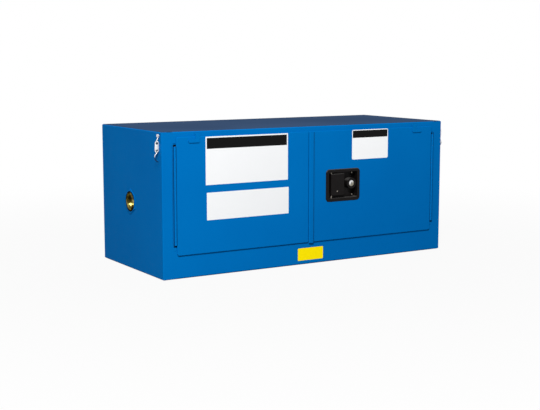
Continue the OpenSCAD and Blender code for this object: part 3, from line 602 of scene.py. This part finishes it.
class Rows:
    """A Geometry Nodes tree that sets rounded lumps along the edges of a mesh."""

    def __init__(self, name):
        self.tree = bpy.data.node_groups.new(name, "GeometryNodeTree")
        face = self.tree.interface
        face.new_socket("Lumps", in_out="OUTPUT", socket_type="NodeSocketGeometry")
        face.new_socket("Paths", in_out="INPUT", socket_type="NodeSocketGeometry")
        kinds = {"Pitch": "Float", "Half size": "Vector", "Unevenness": "Float", "Finish": "Material"}
        self.inputs = {
            label: face.new_socket(label, in_out="INPUT", socket_type="NodeSocket" + kind)
            for label, kind in kinds.items()
        }
        given = self.add("NodeGroupInput").node.outputs
        curve = self.add("GeometryNodeMeshToCurve", inputs={"Mesh": given["Paths"]})
        points = self.add("GeometryNodeCurveToPoints", {"mode": "LENGTH"},
                          {"Curve": curve, "Length": given["Pitch"]})
        lump = self.add("GeometryNodeMeshUVSphere", inputs={"Segments": 8, "Rings": 6, "Radius": 1.0})
        least = self.add("ShaderNodeMath", {"operation": "SUBTRACT"}, {0: 1.0, 1: given["Unevenness"]})
        chance = self.add("FunctionNodeRandomValue", {"data_type": "FLOAT"},
                          {2: least, 3: 1.0, "Seed": 7}, 1)
        stretch = self.add("ShaderNodeVectorMath", {"operation": "SCALE"},
                           {0: given["Half size"], "Scale": chance})
        lumps = self.add("GeometryNodeInstanceOnPoints",
                         inputs={"Points": points, "Instance": lump, "Scale": stretch})
        solid = self.add("GeometryNodeRealizeInstances", inputs={"Geometry": lumps})
        smooth = self.add("GeometryNodeSetShadeSmooth", inputs={"Geometry": solid})
        dressed = self.add("GeometryNodeSetMaterial",
                           inputs={"Geometry": smooth, "Material": given["Finish"]})
        self.add("NodeGroupOutput", inputs={"Lumps": dressed})

    def add(self, kind, settings=None, inputs=None, output=0):
        """One output of a new node: its settings come first, then what its sockets take."""
        node = self.tree.nodes.new(kind)
        for name, value in (settings or {}).items():
            setattr(node, name, value)
        for name, value in (inputs or {}).items():
            if isinstance(value, bpy.types.NodeSocket):
                self.tree.links.new(value, node.inputs[name])
            else:
                node.inputs[name].default_value = value
        return node.outputs[output] if node.outputs else None

    def make(self, name, paths, body, **values):
        """One plain mesh on one body, from pairs of end points and the tree's inputs."""
        mesh = bmesh.new()
        for start, end in paths:
            mesh.edges.new([mesh.verts.new(start), mesh.verts.new(end)])
        path_data = bpy.data.meshes.new(name + "_paths")
        mesh.to_mesh(path_data)
        mesh.free()
        carrier = bpy.data.objects.new(name + "_paths", path_data)
        bpy.context.scene.collection.objects.link(carrier)
        modifier = carrier.modifiers.new("rows", "NODES")
        modifier.node_group = self.tree
        for input_name, value in values.items():
            modifier[self.inputs[input_name.replace("_", " ")].identifier] = value
        shown = carrier.evaluated_get(bpy.context.evaluated_depsgraph_get())
        data = bpy.data.meshes.new_from_object(shown)
        data.name = name
        bpy.data.objects.remove(carrier)
        piece = bpy.data.objects.new(name, data)
        bpy.context.scene.collection.objects.link(piece)
        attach(piece, body)


def black_rubber():
    """Dull moulded rubber."""
    rubber = Recipe(bpy.data.materials.new("black_rubber"))
    grain = rubber.noise(700, 2)
    return rubber.surface(
        Base_Color=rubber.mix(grain, (0.012, 0.012, 0.012), (0.02, 0.02, 0.021)),
        Roughness=0.7 + grain * 0.2,
        Specular_IOR_Level=0.2,
        Normal=rubber.relief(grain, 0.00005),
    )


def rows_across(start_x, end_x, y, heights):
    """End points of one level row at each height."""
    return [((start_x, y, z), (end_x, y, z)) for z in heights]


rows = Rows("rows_of_lumps")
half_wall = sheet_thickness / 2
tray_weld_pitch = 0.005
tray_weld_half_length = 0.0038
tray_weld_half_width = 0.0016
tray_weld_half_height = 0.0013
tray_low, tray_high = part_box("liner_tray")
tray_sides = [
    ((x, tray_low.y, tray_high.z), (x, tray_high.y, tray_high.z))
    for x in (tray_low.x + half_wall, tray_high.x - half_wall)
]
tray_lengths = [
    ((tray_low.x, y, tray_high.z), (tray_high.x, y, tray_high.z))
    for y in (tray_low.y + half_wall, tray_high.y - half_wall)
]
rows.make("tray_side_welds", tray_sides, "cabinet", Pitch=tray_weld_pitch,
          Half_size=(tray_weld_half_width, tray_weld_half_length, tray_weld_half_height),
          Unevenness=0.2, Finish=blue_coat)
rows.make("tray_long_welds", tray_lengths, "cabinet", Pitch=tray_weld_pitch,
          Half_size=(tray_weld_half_length, tray_weld_half_width, tray_weld_half_height),
          Unevenness=0.2, Finish=blue_coat)

spot_half_height = 0.0004
back_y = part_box("base_panel")[1].y
back_edge_inset = 0.009
back_half_row = 0.48
back_column = (0.05, 0.41)
back_rows = rows_across(
    -back_half_row, back_half_row, back_y,
    (back_edge_inset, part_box("top_panel")[1].z - back_edge_inset))
for x in (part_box("left_side_panel")[0].x + back_edge_inset,
          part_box("right_side_panel")[1].x - back_edge_inset):
    back_rows.append(((x, back_y, back_column[0]), (x, back_y, back_column[1])))
rows.make("back_spot_welds", back_rows, "cabinet", Pitch=0.06,
          Half_size=(0.0032, spot_half_height, 0.0032), Unevenness=0.15, Finish=blue_coat)

hinge_end_inset = 0.04
free_end_inset = 0.045
pan_bottom_inset = 0.0085
pan_top_inset = 0.0105
for side, hand in (("left", -1), ("right", 1)):
    pan_low, pan_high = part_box(f"{side}_door_pan")
    free_end, hinge_end = sorted((abs(pan_low.x), abs(pan_high.x)))
    door_rows = rows_across(
        hand * (free_end + free_end_inset), hand * (hinge_end - hinge_end_inset),
        pan_low.y + sheet_thickness, (pan_low.z + pan_bottom_inset, pan_high.z - pan_top_inset))
    rows.make(f"{side}_door_spot_welds", door_rows, f"{side}_door", Pitch=0.07,
              Half_size=(0.003, spot_half_height, 0.003), Unevenness=0.15, Finish=blue_coat)

bumper_half_row = 0.44
bumper_drop = 0.009
bumper_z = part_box("front_sill")[1].z - bumper_drop
bumper_rows = rows_across(-bumper_half_row, bumper_half_row, stile_low.y, [bumper_z])
rows.make("door_bumpers", bumper_rows, "cabinet", Pitch=0.22,
          Half_size=(0.0045, 0.0022, 0.0045), Unevenness=0.0, Finish=black_rubber())


# ---- Labels --------------------------------------------------------------------------------------
# Blank vinyl labels: two on the left door, one on the right door and a yellow one on the sill.
# Each is a thin sheet with round corners, stuck flat on the paint. Two have a black band on top.

def vinyl(name, field, band, band_bottom, low, high, margin):
    """Printed vinyl: a field and a band across its top, with a margin all round."""
    blur = 0.0002
    ink = Recipe(bpy.data.materials.new(name))
    from_side = (ink.along(0) - (low.x + high.x) / 2).unsigned() - (high.x - low.x) / 2
    from_end = (ink.along(2) - (low.z + high.z) / 2).unsigned() - (high.z - low.z) / 2
    rim = from_side.greater(from_end).rise(-margin - blur, -margin + blur)
    header = ink.along(2).rise(band_bottom - blur, band_bottom + blur)
    uneven_field = ink.mix(ink.noise(12, 2), field, tuple(part * 0.97 for part in field))
    printed = ink.mix(header, uneven_field, band)
    return ink.surface(
        Base_Color=ink.mix(rim, printed, field),
        Roughness=0.42 + ink.noise(80, 1) * 0.08,
        Specular_IOR_Level=0.06,
        Normal=ink.relief(ink.noise(180, 1), 0.00002),
    )


def rounded_sheet(low, high, corner, face_y, thickness):
    """A flat sheet with round corners that lies on a face which looks to the front."""
    mesh = bmesh.new()
    centres = [
        (high.x - corner, high.z - corner),
        (low.x + corner, high.z - corner),
        (low.x + corner, low.z + corner),
        (high.x - corner, low.z + corner),
    ]
    outline = []
    for quarter, (centre_x, centre_z) in enumerate(centres):
        for degrees in range(0, 91, 15):
            angle = math.radians(quarter * 90 + degrees)
            outline.append((centre_x + corner * math.cos(angle), face_y,
                            centre_z + corner * math.sin(angle)))
    face = mesh.faces.new([mesh.verts.new(point) for point in outline])
    pulled = bmesh.ops.extrude_face_region(mesh, geom=[face])["geom"]
    front = [part for part in pulled if isinstance(part, bmesh.types.BMVert)]
    bmesh.ops.translate(mesh, verts=front, vec=(0, -thickness, 0))
    bmesh.ops.recalc_face_normals(mesh, faces=mesh.faces)
    return mesh


label_thickness = 0.00025
no_band = 9
black_print = (0.004, 0.004, 0.004)
dull_white = (0.84, 0.85, 0.86)
bright_white = (0.93, 0.94, 0.95)
yellow = (1.0, 0.8, 0.0)


def stick_label(name, node, body, across, up, corner, margin, field, band_bottom):
    """One label between limits on x and z, stuck on the front of a CAD piece."""
    low = Vector((across[0], 0, up[0]))
    high = Vector((across[1], 0, up[1]))
    mesh = rounded_sheet(low, high, corner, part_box(node)[0].y, label_thickness)
    mount(name, mesh, vinyl(name, field, black_print, band_bottom, low, high, margin), body)


stick_label("left_upper_label", "left_door_skin", "left_door",
            across=(-0.3985, -0.0975), up=(0.287, 0.4375), corner=0.001, margin=0.0042,
            field=dull_white, band_bottom=0.3995)
stick_label("left_lower_label", "left_door_skin", "left_door",
            across=(-0.3952, -0.0945), up=(0.1765, 0.263), corner=0.001, margin=0.0042,
            field=dull_white, band_bottom=no_band)
stick_label("right_label", "right_door_skin", "right_door",
            across=(0.157, 0.307), up=(0.339, 0.4385), corner=0.005, margin=0.0025,
            field=bright_white, band_bottom=0.4115)
stick_label("sill_label", "front_sill", "cabinet",
            across=(-0.0545, 0.0450), up=(0.0135, 0.0545), corner=0.003, margin=0.0025,
            field=yellow, band_bottom=no_band)
